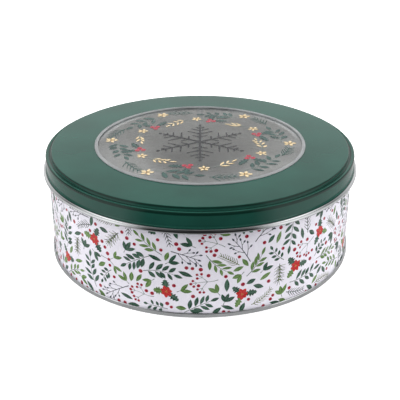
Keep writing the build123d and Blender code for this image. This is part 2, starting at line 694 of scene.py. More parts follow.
class Shape(Enum):
    """Shapes that are stamped, one long and one wide, given as half widths at even steps along them."""

    LEAF = (0, 0.3, 0.47, 0.47, 0.31, 0)
    LOBED = (0, 0.2, 0.34, 0.18, 0.5, 0.26, 0.44, 0.2, 0.24, 0)
    DOT = ()

    def mesh(self) -> bpy.types.Mesh:
        """Makes the shape as a thin closed solid, one high, whose spot attribute is the place on it.

        Returns:
            The mesh. A leaf starts at the origin, and a dot is centred there.
        """
        steps = len(self.value) - 1
        if self is Shape.DOT:
            angles = [math.tau * i / DOT_SIDES for i in range(DOT_SIDES)]
            rim = [(math.cos(a) / 2, math.sin(a) / 2) for a in angles]
        else:
            rim = [(i / steps, half) for i, half in enumerate(self.value)]
            rim += [(i / steps, -self.value[i]) for i in range(steps - 1, 0, -1)]
        built = bmesh.new()
        top, bottom = ([built.verts.new((x, y, z)) for x, y in rim] for z in (1, 0))
        built.faces.new(bottom)
        for i in range(len(rim)):
            built.faces.new((top[i - 1], top[i], bottom[i], bottom[i - 1]))
        if self is Shape.DOT:
            built.faces.new(top)
        else:
            inner = [built.verts.new((i / steps, 0, 1)) for i in range(1, steps)]
            spine = [top[0], *inner, top[steps]]
            for edge in (top[: steps + 1], [top[0], *reversed(top[steps + 1 :]), top[steps]]):
                for i in range(steps):
                    built.faces.new(tuple(dict.fromkeys((edge[i], spine[i], spine[i + 1], edge[i + 1]))))
        mesh = bpy.data.meshes.new(f"{self.name.lower()}_mould")
        built.to_mesh(mesh)
        built.free()
        set_values(mesh, "spot", "FLOAT_VECTOR", [(v.co.x, v.co.y, 0) for v in mesh.vertices])
        return mesh


@dataclass
class Bow:
    """A line that bends evenly, from its foot."""

    foot: Point
    heading: float
    length: float
    bend: float = 0.0

    def at(self, share: float) -> tuple[float, float, float]:
        """Finds a place along the line.

        Args:
            share: how far along it, as a share of its length.

        Returns:
            The place and the heading there.
        """
        turned = self.bend * share
        chord = self.length * share * np.sinc(turned / math.tau)
        way = self.heading + turned / 2
        x, y = self.foot[0] + chord * math.cos(way), self.foot[1] + chord * math.sin(way)
        return x, y, self.heading + turned


@dataclass
class Stroke:
    """A drawn line, with its width at the start and the share of it that is left at the end."""

    ink: Ink
    points: list[Point]
    width: float
    taper: float = 0.5


@dataclass
class Stamp:
    """One stamped shape."""

    ink: Ink
    shape: Shape
    place: Point
    turn: float
    length: float
    width: float
    shade: float
    film: float


@dataclass
class Motif:
    """Lines and shapes that are printed together."""

    strokes: list[Stroke] = field(default_factory=list)
    stamps: list[Stamp] = field(default_factory=list)

    def line(self, ink: Ink, bow: Bow, width: float, taper: float = 0.5) -> Bow:
        """Draws a bowed line.

        Args:
            ink: its colour.
            bow: where it runs.
            width: its width at the start, in millimetres.
            taper: the share of the width that is left at the end.

        Returns:
            The bow, for what is drawn along it.
        """
        steps = max(2, round(bow.length / LINE_STEP))
        points = [bow.at(i / steps)[:2] for i in range(steps + 1)]
        self.strokes.append(Stroke(ink, points, width, taper))
        return bow

    def leaf(
        self,
        ink: Ink,
        place: Point,
        turn: float,
        length: float,
        width: float,
        shade: float,
        shape: Shape = Shape.LEAF,
    ) -> None:
        """Stamps a leaf or petal from its foot, a hair over the shape before it."""
        film = ink.value.film_mm + FILM_STEP * (len(self.stamps) % FILM_STEPS)
        self.stamps.append(Stamp(ink, shape, place, turn, length, width, shade, film))

    def dot(self, ink: Ink, place: Point, across: float, shade: float = 0.2) -> None:
        """Stamps a round spot."""
        self.leaf(ink, place, 0.0, across, across, shade, Shape.DOT)

    def spots(self) -> np.ndarray:
        """Gives points all over the motif, for telling whether it lies clear of others.

        Returns:
            The points, one in each row.
        """
        found = [point for stroke in self.strokes for point in stroke.points]
        for stamp in self.stamps:
            start = -0.5 if stamp.shape is Shape.DOT else 0.0
            for along, across in SPOT_SHARES:
                x, y = (start + along) * stamp.length, across * stamp.width
                c, s = math.cos(stamp.turn), math.sin(stamp.turn)
                found.append((stamp.place[0] + x * c - y * s, stamp.place[1] + x * s + y * c))
        return np.array(found)

    def placed(self, middle: Point, turn: float) -> "Motif":
        """Makes a copy in another place.

        Args:
            middle: where the origin goes.
            turn: how far the copy is turned about the origin, in radians.

        Returns:
            The copy.
        """
        c, s = math.cos(turn), math.sin(turn)

        def move(point: Point) -> Point:
            """Turns and moves one point."""
            return middle[0] + point[0] * c - point[1] * s, middle[1] + point[0] * s + point[1] * c

        strokes = [replace(k, points=[move(p) for p in k.points]) for k in self.strokes]
        stamps = [replace(k, place=move(k.place), turn=k.turn + turn) for k in self.stamps]
        return Motif(strokes, stamps)

    def take(self, other: "Motif") -> None:
        """Adds another motif's lines and shapes."""
        self.strokes += other.strokes
        self.stamps += other.stamps


# Places on a stamp that have to lie clear, as shares of its length and of its width
SPOT_SHARES = [(0, 0), (0.25, 0), (0.25, 0.4), (0.25, -0.4), (0.5, 0), (0.5, 0.5), (0.5, -0.5)]
SPOT_SHARES += [(0.75, 0), (0.75, 0.4), (0.75, -0.4), (1, 0)]


@dataclass
class MotifBook:
    """Sprigs, twigs, berries and flowers of a winter garden, each drawn a little differently every time."""

    draws: random.Random

    def near(self, value: float, spread: float = 0.13) -> float:
        """Gives a value that is a little more or less."""
        return value * self.draws.uniform(1 - spread, 1 + spread)

    def shade(self) -> float:
        """Gives a random tone."""
        return self.draws.random()

    def leafy(
        self,
        ink: Ink,
        length: float,
        leaf: Point,
        pairs: int,
        spread: float,
        bend: float | None = None,
    ) -> Motif:
        """Draws a sprig of paired leaves with one at its tip.

        Args:
            ink: colour of the leaves.
            length: length of the stem.
            leaf: length and width of the lowest leaves.
            pairs: how many pairs it has.
            spread: how far the leaves turn from the stem, in radians.
            bend: how far the stem turns, or None for any bend.

        Returns:
            The sprig, from its foot along +X.
        """
        motif = Motif()
        bow = self.draws.uniform(-0.7, 0.7) if bend is None else bend
        stem = motif.line(Ink.STEM, Bow((0, 0), 0, self.near(length), bow), 0.5)
        for i in range(pairs):
            share = (i + 0.9) / (pairs + 0.9)
            size = 1 - 0.25 * share
            for side in (-1, 1):
                x, y, way = stem.at(share + side * self.draws.uniform(0, 0.05))
                turn = way + side * self.near(spread)
                foot = (x + 0.5 * math.cos(turn), y + 0.5 * math.sin(turn))
                long, wide = self.near(leaf[0] * size), self.near(leaf[1] * size)
                motif.leaf(ink, foot, turn, long, wide, self.shade())
        x, y, way = stem.at(1.0)
        motif.leaf(ink, (x, y), way, self.near(leaf[0] * 0.8), leaf[1] * 0.8, self.shade())
        return motif

    def laurel(self) -> Motif:
        """Draws a sprig of dark leaves."""
        return self.leafy(Ink.DARK_LEAF, 19, (6.9, 2.8), 4, 0.85)

    def olive(self) -> Motif:
        """Draws a sprig of slim light leaves."""
        return self.leafy(Ink.LIGHT_LEAF, 16, (6.5, 2.3), 3, 0.6)

    def myrtle(self) -> Motif:
        """Draws a small sprig of round dark leaves."""
        return self.leafy(Ink.DARK_LEAF, 11.5, (4.1, 2.2), 3, 0.95)

    def mistletoe(self) -> Motif:
        """Draws a fork of light leaves with a berry where they part.

        Returns:
            The fork, from its foot along +X.
        """
        motif = Motif()
        stem = Bow((0, 0), 0, self.near(5.6), self.draws.uniform(-0.3, 0.3))
        x, y, way = motif.line(Ink.STEM, stem, 0.5).at(1)
        for side in (-1, 1):
            branch = motif.line(Ink.STEM, Bow((x, y), way + side * 0.5, self.near(4.5), side * 0.3), 0.44)
            u, v, out = branch.at(1)
            for lean in (-0.45, 0.45):
                motif.leaf(Ink.LIGHT_LEAF, (u, v), out + lean, self.near(5.8), self.near(2.2), self.shade())
        motif.dot(Ink.BERRY, (x, y), 2.1)
        return motif

    def rowan(self) -> Motif:
        """Draws a spray of small berries on thin stalks.

        Returns:
            The spray, from its foot along +X.
        """
        motif = Motif()
        stem = Bow((0, 0), 0, self.near(5.5), self.draws.uniform(-0.4, 0.4))
        x, y, way = motif.line(Ink.STEM, stem, 0.42).at(1)
        for fan, far in ((-0.85, 4.6), (0.0, 6.4), (0.85, 4.6)):
            branch = motif.line(Ink.STEM, Bow((x, y), way + fan, self.near(far), 0.2), 0.36)
            u, v, out = branch.at(1)
            for lean, reach in ((-0.75, 2.7), (0.05, 3.3), (0.8, 2.7)):
                stalk = motif.line(Ink.STEM, Bow((u, v), out + lean, self.near(reach)), 0.3)
                motif.dot(Ink.BERRY, stalk.at(1)[:2], self.near(1.8), 0.1)
        return motif

    def twig(self) -> Motif:
        """Draws a bare slate twig with buds.

        Returns:
            The twig, from its foot along +X.
        """
        motif = Motif()
        stem = motif.line(Ink.TWIG, Bow((0, 0), 0, self.near(16), self.draws.uniform(-0.5, 0.5)), 0.56)
        for i in range(5):
            side = 1 if i % 2 else -1
            x, y, way = stem.at(0.26 + 0.155 * i)
            branch = Bow((x, y), way + side * self.near(0.72), self.near(6.8 - 0.7 * i), side * -0.35)
            motif.line(Ink.TWIG, branch, 0.42)
            for share, lean, reach in ((1.0, 0.0, 0.4), (0.55, 0.7 * side, 1.5)):
                u, v, out = branch.at(share)
                stalk = motif.line(Ink.TWIG, Bow((u, v), out + lean, reach), 0.4)
                motif.leaf(Ink.TWIG, stalk.at(1)[:2], out + lean, self.near(2.2), 1.15, self.shade())
        x, y, way = stem.at(1)
        motif.leaf(Ink.TWIG, (x, y), way, 2.5, 1.1, self.shade())
        return motif

    def needled(
        self,
        ink: Ink,
        length: float,
        needle: float,
        bend: float | None = None,
        width: float = 0.5,
        pitch: float = 2.3,
    ) -> Motif:
        """Draws a flat sprig with needles on both sides.

        Args:
            ink: colour of the whole sprig.
            length: length of the stem.
            needle: length of the lowest needles.
            bend: how far the stem turns, or None for any bend.
            width: width of a needle at its foot.
            pitch: from one needle to the next.

        Returns:
            The sprig, from its foot along +X.
        """
        motif = Motif()
        bow = self.draws.uniform(-0.9, 0.9) if bend is None else bend
        stem = motif.line(ink, Bow((0, 0), 0, self.near(length), bow), width)
        count = round(length / pitch)
        for i in range(count):
            share = 0.1 + 0.88 * i / count
            x, y, way = stem.at(share)
            for side in (-1, 1):
                reach = self.near(needle * (1 - 0.45 * share))
                motif.line(ink, Bow((x, y), way + side * self.near(0.86, 0.08), reach, -0.3 * side), width)
        return motif

    def juniper(self) -> Motif:
        """Draws a grey-green needled sprig."""
        return self.needled(Ink.NEEDLE, 17.0, 4.4)

    def fern(self) -> Motif:
        """Draws an olive needled frond."""
        return self.needled(Ink.FROND, 16.0, 4.0, width=0.46, pitch=2.1)

    def larch(self) -> Motif:
        """Draws a short shoot with thick tufts of needles in two greens.

        Returns:
            The shoot, from its foot along +X.
        """
        motif = Motif()
        stem = motif.line(Ink.TWIG, Bow((0, 0), 0, self.near(10), self.draws.uniform(-0.4, 0.4)), 0.5)
        for i in range(5):
            x, y, way = stem.at(0.12 + 0.21 * i)
            for k in range(6):
                lean = (k - 2.5) * 0.5 + self.draws.uniform(-0.12, 0.12)
                ink = Ink.FROND if (i + k) % 2 else Ink.NEEDLE
                motif.line(ink, Bow((x, y), way + lean, self.near(3.9), 0.2), 0.4, 0.6)
        return motif

    def poinsettia(self) -> Motif:
        """Draws a flower of red bracts on lobed green leaves, with gold seeds.

        Returns:
            The flower, centred on the origin.
        """
        motif = Motif()
        start = self.draws.uniform(0, math.tau)
        for i, turn in enumerate((0.0, 2.3, 4.0)):
            way = start + turn + self.draws.uniform(-0.2, 0.2)
            ink = Ink.LIGHT_LEAF if i == 2 else Ink.DARK_LEAF
            foot = (1.5 * math.cos(way), 1.5 * math.sin(way))
            motif.leaf(ink, foot, way, self.near(7.2), self.near(5.2), self.shade(), Shape.LOBED)
        for count, reach, width, lag in ((7, 3.9, 2.7, 0.0), (5, 2.5, 1.8, 0.5)):
            for i in range(count):
                way = start + lag + math.tau * i / count
                motif.leaf(Ink.BRACT, (0, 0), way, self.near(reach), width, 0.5 * self.shade())
        for i in range(3):
            way = start + math.tau * i / 3
            motif.dot(Ink.OCHRE, (0.5 * math.cos(way), 0.5 * math.sin(way)), 0.7)
        return motif

    def oak(self) -> Motif:
        """Draws two lobed leaves with a berry between them.

        Returns:
            The leaves and the berry, near the origin.
        """
        motif = Motif()
        for side in (-1, 1):
            foot, shade = (0.5, 0.6 * side), self.shade()
            motif.leaf(Ink.DARK_LEAF, foot, side * 0.62, self.near(7.0), 4.3, shade, Shape.LOBED)
        motif.line(Ink.STEM, Bow((-2.8, 0), 0, 3.2, 0.2), 0.5)
        motif.dot(Ink.BERRY, (0.2, 0), 2.4)
        return motif

    def pair(self, ink: Ink) -> Motif:
        """Draws two or three leaves on a short stem.

        Args:
            ink: colour of the leaves.

        Returns:
            The leaves, near the origin.
        """
        motif = Motif()
        motif.line(Ink.STEM, Bow((-2.2, 0), 0, 2.2, 0.2), 0.5)
        for lean in (-0.42, 0.42) if self.draws.random() < 0.6 else (-0.7, 0.0, 0.7):
            motif.leaf(ink, (0, 0), lean, self.near(6.6), self.near(2.6), self.shade())
        return motif

    def single(self, ink: Ink) -> Motif:
        """Draws one leaf.

        Args:
            ink: its colour.

        Returns:
            The leaf, near the origin.
        """
        motif = Motif()
        motif.leaf(ink, (-3.7, 0), 0, self.near(7.6, 0.2), self.near(2.8), self.shade())
        return motif

    def berry(self) -> Motif:
        """Draws one berry.

        Returns:
            The berry, centred on the origin.
        """
        motif = Motif()
        motif.dot(Ink.BERRY, (0, 0), self.near(2.35), 0.25 * self.shade())
        return motif

    def blossom(self, across: float) -> Motif:
        """Draws an open flower of five narrow cream petals round a ring of seeds.

        Args:
            across: size of the flower.

        Returns:
            The flower, centred on the origin.
        """
        motif = Motif()
        reach = across / 2
        for i in range(5):
            way = math.tau * i / 5
            foot = (0.18 * reach * math.cos(way), 0.18 * reach * math.sin(way))
            petal = self.near(0.82 * reach, 0.05)
            motif.leaf(Ink.GOLD, foot, way, petal, 0.5 * reach, 0.3 + 0.7 * self.shade())
            way += math.pi / 5
            motif.dot(Ink.OCHRE, (0.2 * reach * math.cos(way), 0.2 * reach * math.sin(way)), 0.17 * reach)
        return motif

    def trio(self) -> Motif:
        """Draws three berries with a leaf on each side.

        Returns:
            The berries and leaves, centred on the origin.
        """
        motif = Motif()
        for lean in (-0.75, 0.75):
            foot = (-1.8, -2.0 * lean)
            motif.leaf(Ink.SAGE, foot, math.pi + lean, self.near(10.4), 5.4, 0.1, Shape.LOBED)
        for i in range(3):
            way = math.tau * i / 3
            motif.dot(Ink.BERRY, (2.2 * math.cos(way), 2.2 * math.sin(way)), 3.4, 0.6)
        return motif

    def snow_star(self, reach: float) -> Motif:
        """Draws a six-armed snow star in thin lines.

        Args:
            reach: length of each arm.

        Returns:
            The star, centred on the origin.
        """
        motif = Motif()
        for arm in range(6):
            way = math.tau * (arm + 0.5) / 6
            stem = motif.line(Ink.GRAPHITE, Bow((0, 0), way, reach), 1.8, 0.7)
            for share, size in ((0.3, 0.2), (0.5, 0.34), (0.72, 0.24), (0.88, 0.12)):
                x, y, _ = stem.at(share)
                for side in (-1, 1):
                    motif.line(Ink.GRAPHITE, Bow((x, y), way + side * math.pi / 3, reach * size), 1.35, 0.7)
            x, y, _ = stem.at(1.02)
            motif.leaf(Ink.GRAPHITE, (x, y), way, 3.2, 2.2, 0.2)
        return motif


@dataclass
class PrintField:
    """A flat sheet on which motifs are scattered clear of each other.

    A grid of small cells remembers where print lies, with a margin round it.
    """

    low: Point
    high: Point
    draws: np.random.Generator
    cell: float = 0.5
    gap: float = 0.85  # least distance between two motifs
    tries: int = 170

    def __post_init__(self) -> None:
        """Makes the empty grid, and the cells within the margin of one point."""
        size = [math.ceil((high - low) / self.cell) + 1 for low, high in zip(self.low, self.high)]
        self.taken = np.zeros(size, bool)
        reach = math.ceil(self.gap / self.cell)
        around = [(i, j) for i in range(-reach, reach + 1) for j in range(-reach, reach + 1)]
        self.margin = np.array([k for k in around if math.hypot(*k) * self.cell <= self.gap])

    def add(self, motif: Motif, low_share: float, high_share: float) -> Motif | None:
        """Looks for a free place for a motif.

        Args:
            motif: the motif, drawn near the origin.
            low_share: where the stretch of the sheet to look in starts, as a share of its length.
            high_share: where that stretch ends.

        Returns:
            The motif in its place, or None where no try was free.
        """
        spots = motif.spots()
        centre = spots.mean(0)
        spots = spots - centre
        turns = self.draws.uniform(0, math.tau, self.tries)
        span = self.high[0] - self.low[0]
        across = self.low[0] + span * self.draws.uniform(low_share, high_share, self.tries)
        middles = np.stack([across, self.draws.uniform(self.low[1], self.high[1], self.tries)], 1)
        c, s = np.cos(turns)[:, None], np.sin(turns)[:, None]
        x = middles[:, :1] + spots[:, 0] * c - spots[:, 1] * s
        y = middles[:, 1:] + spots[:, 0] * s + spots[:, 1] * c
        inside = (x >= self.low[0]) & (x <= self.high[0]) & (y >= self.low[1]) & (y <= self.high[1])
        cells = [
            np.clip(((v - low) / self.cell).astype(int), 0, size - 1)
            for v, low, size in zip((x, y), self.low, self.taken.shape)
        ]
        free = inside.all(1) & ~self.taken[cells[0], cells[1]].any(1)
        if not free.any():
            return None
        best = int(free.argmax())
        marked = np.stack([cells[0][best], cells[1][best]], 1)[:, None] + self.margin
        marked = np.clip(marked.reshape(-1, 2), 0, np.array(self.taken.shape) - 1)
        self.taken[marked[:, 0], marked[:, 1]] = True
        back = motif.placed((-centre[0], -centre[1]), 0.0)
        return back.placed(tuple(middles[best]), turns[best])


@dataclass(frozen=True)
class Surface:
    """What a flat print lies on: the round wall, or a level sheet at some height."""

    body: str
    slot: str
    radius: float = 100.0
    level: float | None = None

    def inputs(self, lift: float) -> dict[str, object]:
        """Gives the print trees' inputs for print that is lifted by some millimetres off this surface."""
        height = (self.level or 0.0) + lift
        return {"Wall radius": self.radius * MM, "Level": height * MM, "Curved": self.level is None}

    def fit(self, piece: bpy.types.Object) -> bpy.types.Object:
        """Makes a printed piece ride its body."""
        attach(piece, self.body)
        return piece


# Geometry Nodes


def start_tree(name: str, inputs: dict[str, tuple[str, object]]) -> tuple[Tree, bpy.types.NodeOutputs]:
    """Makes a geometry tree that takes and gives geometry.

    Args:
        name: the tree's name.
        inputs: socket type and default value of each named input.

    Returns:
        The tree and the outputs of its group input node, by the inputs' names.
    """
    tree = bpy.data.node_groups.new(name, "GeometryNodeTree")
    for key, (kind, value) in {"Geometry": ("NodeSocketGeometry", None), **inputs}.items():
        socket = tree.interface.new_socket(key, in_out="INPUT", socket_type=kind)
        if value is not None:
            socket.default_value = value
    tree.interface.new_socket("Geometry", in_out="OUTPUT", socket_type="NodeSocketGeometry")
    return tree, put(tree, "NodeGroupInput").node.outputs


def turning_tree() -> Tree:
    """Builds the tree that turns a section, drawn in the XZ plane, once round +Z.

    Returns:
        The tree, whose inputs are Segments, Path radius, Face finish and Back finish. Faces whose
        side attribute is 1 get the back finish.
    """
    inputs = {
        "Segments": ("NodeSocketInt", ROUND_SIDES),
        "Path radius": ("NodeSocketFloat", PATH_RADIUS),
        "Face finish": ("NodeSocketMaterial", None),
        "Back finish": ("NodeSocketMaterial", None),
    }
    tree, read = start_tree("turn_section", inputs)
    add = partial(put, tree)
    spot = add(SPLIT, add("GeometryNodeInputPosition")).node.outputs
    across = add(MATH, spot["X"], read["Path radius"], operation="SUBTRACT")
    down = add(MATH, spot["Z"], -1.0, operation="MULTIPLY")
    laid = add("GeometryNodeSetPosition", read["Geometry"], None, add(JOIN, across, down))
    section = add("GeometryNodeMeshToCurve", laid)
    ring = add("GeometryNodeCurvePrimitiveCircle", read["Segments"], read["Path radius"])
    upright = add("GeometryNodeSetCurveNormal", ring, mode="Z_UP")
    swept = add("GeometryNodeCurveToMesh", upright, section)
    merged = add("GeometryNodeMergeByDistance", swept, None, SAME_POINT)
    real = add("GeometryNodeRealizeInstances", merged)
    side = add("GeometryNodeInputNamedAttribute", "side", data_type="FLOAT")
    is_back = add("FunctionNodeCompare", side, BACK_SIDE, data_type="FLOAT", operation="GREATER_THAN")
    faced = add("GeometryNodeSetMaterial", real, None, read["Face finish"])
    add("NodeGroupOutput", add("GeometryNodeSetMaterial", faced, is_back, read["Back finish"]))
    return tree


def print_on_tin(tree: Tree, geometry: Socket, read: bpy.types.NodeOutputs) -> None:
    """Ends a print tree: lays flat print round the wall or straight on the window, and inks it.

    Args:
        tree: the geometry tree.
        geometry: flat print, X along the sheet, Y up it and Z out of it.
        read: the outputs of the tree's group input, with Wall radius, Level, Curved and Ink.
    """
    add = partial(put, tree)
    real = add("GeometryNodeRealizeInstances", geometry)
    spot = add(SPLIT, add("GeometryNodeInputPosition")).node.outputs
    out = add(MATH, spot["Z"], read["Level"], operation="ADD")
    radius = add(MATH, out, read["Wall radius"], operation="ADD")
    angle = add(MATH, spot["X"], read["Wall radius"], operation="DIVIDE")
    east = add(MATH, radius, add(MATH, angle, operation="SINE"), operation="MULTIPLY")
    south = add(MATH, radius, add(MATH, angle, operation="COSINE"), operation="MULTIPLY")
    curved = add(JOIN, east, add(MATH, south, -1.0, operation="MULTIPLY"), spot["Y"])
    flat = add(JOIN, spot["X"], spot["Y"], out)
    place = add("GeometryNodeSwitch", read["Curved"], flat, curved, input_type="VECTOR")
    laid = add("GeometryNodeSetPosition", real, None, place)
    add("NodeGroupOutput", add("GeometryNodeSetMaterial", laid, None, read["Ink"]))


PRINT_INPUTS = {
    "Wall radius": ("NodeSocketFloat", 0.1),
    "Level": ("NodeSocketFloat", 0.0),
    "Curved": ("NodeSocketBool", True),
    "Ink": ("NodeSocketMaterial", None),
}


def stamping_tree() -> Tree:
    """Builds the tree that puts one shape on every point of a flat print and lays it on the tin.

    Returns:
        The tree, whose inputs are Shape and those of every print. The points carry turn, size and
        shade.
    """
    tree, read = start_tree("stamp_print", {"Shape": ("NodeSocketObject", None), **PRINT_INPUTS})
    add = partial(put, tree)
    shape = add("GeometryNodeObjectInfo", read["Shape"], out="Geometry")
    turn = add(JOIN, None, None, add("GeometryNodeInputNamedAttribute", "turn", data_type="FLOAT"))
    size = add("GeometryNodeInputNamedAttribute", "size", data_type="FLOAT_VECTOR")
    copies = add("GeometryNodeInstanceOnPoints", read["Geometry"], None, shape, None, None, turn, size)
    print_on_tin(tree, copies, read)
    return tree


def stroke_tree() -> Tree:
    """Builds the tree that draws flat lines as thin strips of ink and lays them on the tin.

    Returns:
        The tree, whose inputs are Thickness, the share of a line's half width that it stands up,
        and those of every print. The points carry half_width.
    """
    tree, read = start_tree("draw_strokes", {"Thickness": ("NodeSocketFloat", 0.2), **PRINT_INPUTS})
    add = partial(put, tree)
    lines = add("GeometryNodeSetCurveNormal", add("GeometryNodeMeshToCurve", read["Geometry"]), mode="Z_UP")
    strip = add("GeometryNodeCurvePrimitiveQuadrilateral", 2.0, read["Thickness"])
    half_width = add("GeometryNodeInputNamedAttribute", "half_width", data_type="FLOAT")
    print_on_tin(tree, add("GeometryNodeCurveToMesh", lines, strip, half_width, True), read)
    return tree


def mesh_object(name: str, mesh: bpy.types.Mesh) -> bpy.types.Object:
    """Makes an object for a mesh and links it to the scene.

    Args:
        name: the object's name.
        mesh: the mesh.

    Returns:
        The object.
    """
    made = bpy.data.objects.new(name, mesh)
    bpy.context.scene.collection.objects.link(made)
    return made


def set_values(mesh: bpy.types.Mesh, name: str, kind: str, values: list) -> None:
    """Stores one value for each point of a mesh.

    Args:
        mesh: the mesh.
        name: the attribute's name.
        kind: FLOAT or FLOAT_VECTOR.
        values: the values, in the order of the points.
    """
    stored = mesh.attributes.new(name, kind, "POINT")
    key = "vector" if kind == "FLOAT_VECTOR" else "value"
    stored.data.foreach_set(key, np.array(values, np.float32).ravel())


def grown(name: str, source: bpy.types.Mesh, tree: Tree, inputs: dict[str, object]) -> bpy.types.Object:
    """Runs a geometry tree on a mesh and keeps the result as a plain mesh.

    Args:
        name: the finished piece's name.
        source: the mesh that goes in, which is deleted afterwards.
        tree: the geometry tree.
        inputs: a value for each named input.

    Returns:
        The finished piece, with its normals outwards.
    """
    carrier = mesh_object(f"{name}_source", source)
    modifier = carrier.modifiers.new("grow", "NODES")
    modifier.node_group = tree
    sockets = {item.name: item for item in tree.interface.items_tree if item.in_out == "INPUT"}
    for key, value in inputs.items():
        modifier[sockets[key].identifier] = value
    carrier.update_tag()
    view = bpy.context.evaluated_depsgraph_get()
    evaluated = carrier.evaluated_get(view)
    mesh = bpy.data.meshes.new_from_object(evaluated, preserve_all_data_layers=True, depsgraph=view)
    mesh.name = name
    carrier.modifiers.clear()
    bpy.data.objects.remove(carrier)
    bpy.data.meshes.remove(source)
    tidy = bmesh.new()
    tidy.from_mesh(mesh)
    bmesh.ops.recalc_face_normals(tidy, faces=tidy.faces)
    tidy.to_mesh(mesh)
    tidy.free()
    mesh.shade_smooth()
    mesh.set_sharp_from_angle(angle=SHARP_EDGE)
    return mesh_object(name, mesh)


@dataclass
class Workshop:
    """The three geometry trees, and the steps that use them."""

    turning: Tree = field(default_factory=turning_tree)
    stamping: Tree = field(default_factory=stamping_tree)
    drawing: Tree = field(default_factory=stroke_tree)

    def turn(
        self,
        name: str,
        section: SheetSection,
        face: bpy.types.Material,
        back: bpy.types.Material,
        segments: int = ROUND_SIDES,
    ) -> bpy.types.Object:
        """Turns a sheet section once round the axis.

        Args:
            name: the piece's name.
            section: the section, in millimetres.
            face: finish of the face side.
            back: finish of the back side.
            segments: sides of the whole turn.

        Returns:
            The finished piece.
        """
        points, sides, bends = section.outline()
        mesh = bpy.data.meshes.new(f"{name}_section")
        count = len(points)
        edges = [(i, (i + 1) % count) for i in range(count - (1 if section.on_axis else 0))]
        mesh.from_pydata([(x * MM, 0, z * MM) for x, z in points], edges, [])
        set_values(mesh, "side", "FLOAT", sides)
        set_values(mesh, "bend", "FLOAT", bends)
        inputs = {
            "Segments": segments,
            "Path radius": PATH_RADIUS,
            "Face finish": face,
            "Back finish": back,
        }
        return grown(name, mesh, self.turning, inputs)

    def stamp(
        self,
        name: str,
        stamps: list[Stamp],
        shape: Shape,
        ink: bpy.types.Material,
        surface: Surface,
    ) -> bpy.types.Object:
        """Prints many copies of one shape.

        Args:
            name: the piece's name.
            stamps: where the copies go, all of them of this shape.
            shape: the shape.
            ink: finish of the copies.
            surface: what they are printed on.

        Returns:
            The finished piece, riding its body.
        """
        mould = mesh_object("shape_mould", shape.mesh())
        mesh = bpy.data.meshes.new(f"{name}_points")
        mesh.from_pydata([(s.place[0] * MM, s.place[1] * MM, 0) for s in stamps], [], [])
        set_values(mesh, "turn", "FLOAT", [s.turn for s in stamps])
        set_values(mesh, "shade", "FLOAT", [s.shade for s in stamps])
        sizes = [(s.length * MM, s.width * MM, s.film * MM) for s in stamps]
        set_values(mesh, "size", "FLOAT_VECTOR", sizes)
        piece = grown(name, mesh, self.stamping, {"Shape": mould, "Ink": ink, **surface.inputs(-SUNK)})
        bpy.data.objects.remove(mould)
        return surface.fit(piece)

    def draw(
        self,
        name: str,
        strokes: list[Stroke],
        film: float,
        ink: bpy.types.Material,
        surface: Surface,
    ) -> bpy.types.Object:
        """Prints many lines.

        Args:
            name: the piece's name.
            strokes: the lines.
            film: how thick the ink is, in millimetres.
            ink: finish of the lines.
            surface: what they are printed on.

        Returns:
            The finished piece, riding its body.
        """
        spots, edges, widths = [], [], []
        for stroke in strokes:
            first, count = len(spots), len(stroke.points)
            spots += [(x * MM, y * MM, 0) for x, y in stroke.points]
            edges += [(first + i, first + i + 1) for i in range(count - 1)]
            widths += [stroke.width * (1 + (stroke.taper - 1) * i / (count - 1)) / 2 for i in range(count)]
        mesh = bpy.data.meshes.new(f"{name}_lines")
        mesh.from_pydata(spots, edges, [])
        set_values(mesh, "half_width", "FLOAT", [w * MM for w in widths])
        share = 2 * film / max(widths)
        piece = grown(name, mesh, self.drawing, {"Thickness": share, "Ink": ink, **surface.inputs(0)})
        return surface.fit(piece)


# The tin


@dataclass
class TinSizes:
    """Sizes that the body and the lid share, in millimetres, as the construction model has them."""

    sheet: float = 0.3
    seam_gap: float = 0.15  # between two layers of the double seam
    wall_radius: float = 100.0
    mouth_height: float = 67.4
    mouth_roll: float = 2.2
    seam_height: float = 3.0
    lid_clearance: float = 0.6  # between wall and skirt
    lid_rest_gap: float = 0.3  # between the mouth and the ledge above it
    window_radius: float = 67.2

    @property
    def wall_mid(self) -> float:
        """Radius of the middle of the wall's sheet."""
        return self.wall_radius - self.sheet / 2

    @property
    def pitch(self) -> float:
        """From one layer of the seam to the next."""
        return self.sheet + self.seam_gap


